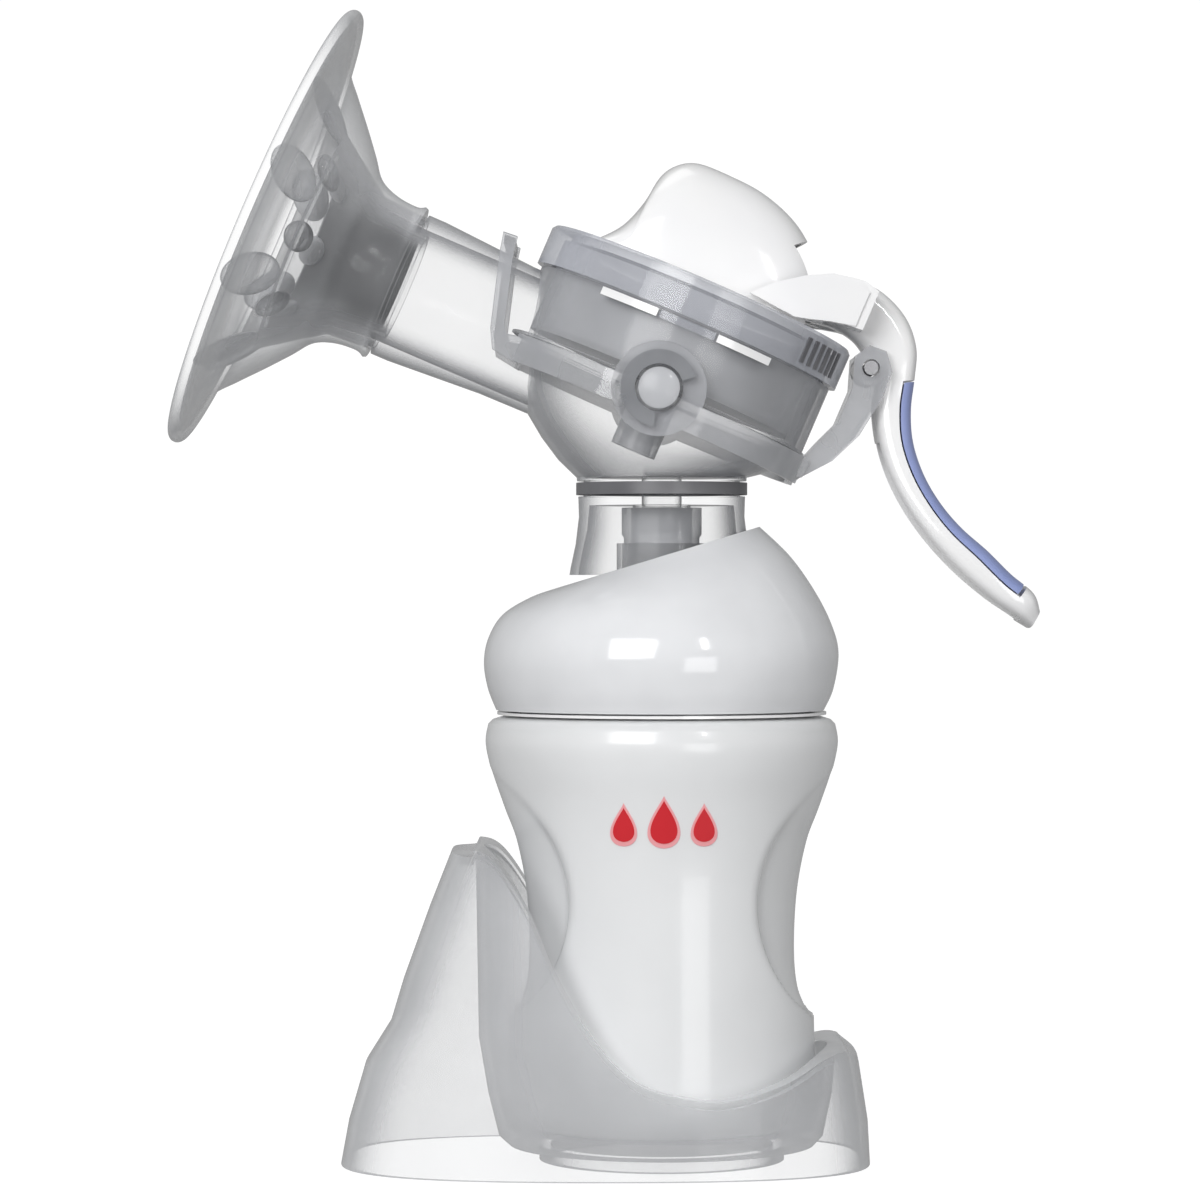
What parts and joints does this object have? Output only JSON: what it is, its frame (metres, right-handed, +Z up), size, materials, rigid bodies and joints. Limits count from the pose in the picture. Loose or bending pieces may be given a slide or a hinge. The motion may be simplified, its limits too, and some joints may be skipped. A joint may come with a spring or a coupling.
{
  "type": "manual breast pump",
  "caption": "Hand-squeezed breast pump: tilted clear head with soft funnel cushion, diaphragm drum and lever, on a waisted feeding bottle in a cradle stand.",
  "frame": {"origin": "middle of the outline, on the surface the stand rests on", "axes": "+Z up, +X towards the squeeze handle, -X towards the funnel"},
  "size_m": [0.1561, 0.0842, 0.2065],
  "materials": {
    "clear_plastic": "clear, polished",
    "frosted_plastic": "frosted, translucent",
    "ring_plastic": "clear, slightly blue",
    "silicone": "clear silicone rubber",
    "white_plastic": "glossy white",
    "collar_plastic": "translucent white, glossy",
    "bottle_plastic": "milky, translucent",
    "stand_plastic": "thin translucent sheet",
    "grip_rubber": "soft periwinkle rubber",
    "seal_rubber": "dark grey rubber",
    "steel": "ground pin"
  },
  "bodies": {
    "stand": {"bottle_stand": "stand_plastic"},
    "bottle": {"bottle": "bottle_plastic", "bottle_seal": "silicone"},
    "head": {"adapter_collar": "collar_plastic", "neck_ring": "seal_rubber", "pump_body": "clear_plastic", "breast_cushion": "silicone", "valve_sleeve": "frosted_plastic", "duckbill_valve": "silicone", "diaphragm_cup": "frosted_plastic", "diaphragm": "silicone", "cover_ring": "ring_plastic", "dome_cover": "white_plastic", "yoke": "clear_plastic", "clip_ring_near": "clear_plastic", "clip_ring_far": "clear_plastic", "boss_cap_near": "frosted_plastic", "boss_cap_far": "frosted_plastic", "pivot_pin": "steel"},
    "handle": {"handle": "white_plastic", "handle_grip": "grip_rubber"},
    "stem": {"diaphragm_stem": "white_plastic", "stem_pin": "steel"}
  },
  "joints": [
    {"name": "bottle_lift", "type": "slide", "parent": "stand", "child": "bottle", "axis": [0, 0, 1], "range_m": [0, 0.065]},
    {"name": "collar_unscrew", "type": "hinge", "parent": "bottle", "child": "head", "pos_m": [0.0106, 0, 0.0804], "axis": [0, 0, 1], "range_deg": [0, 90]},
    {"name": "handle_squeeze", "type": "hinge", "parent": "head", "child": "handle", "pos_m": [0.04779, 0, 0.1418], "axis": [0, 1, 0], "range_deg": [0, 14], "stiffness_Nm_per_rad": 0.6, "springref_deg": -8.59},
    {"name": "stem_lift", "type": "slide", "parent": "head", "child": "stem", "axis": [0.3955, 0, 0.9184], "range_m": [0, 0.0088], "deforming": ["diaphragm"]}
  ],
  "couplings": [
    {"joint": "stem_lift", "follows": "handle_squeeze", "m_per_rad": 0.035}
  ]
}
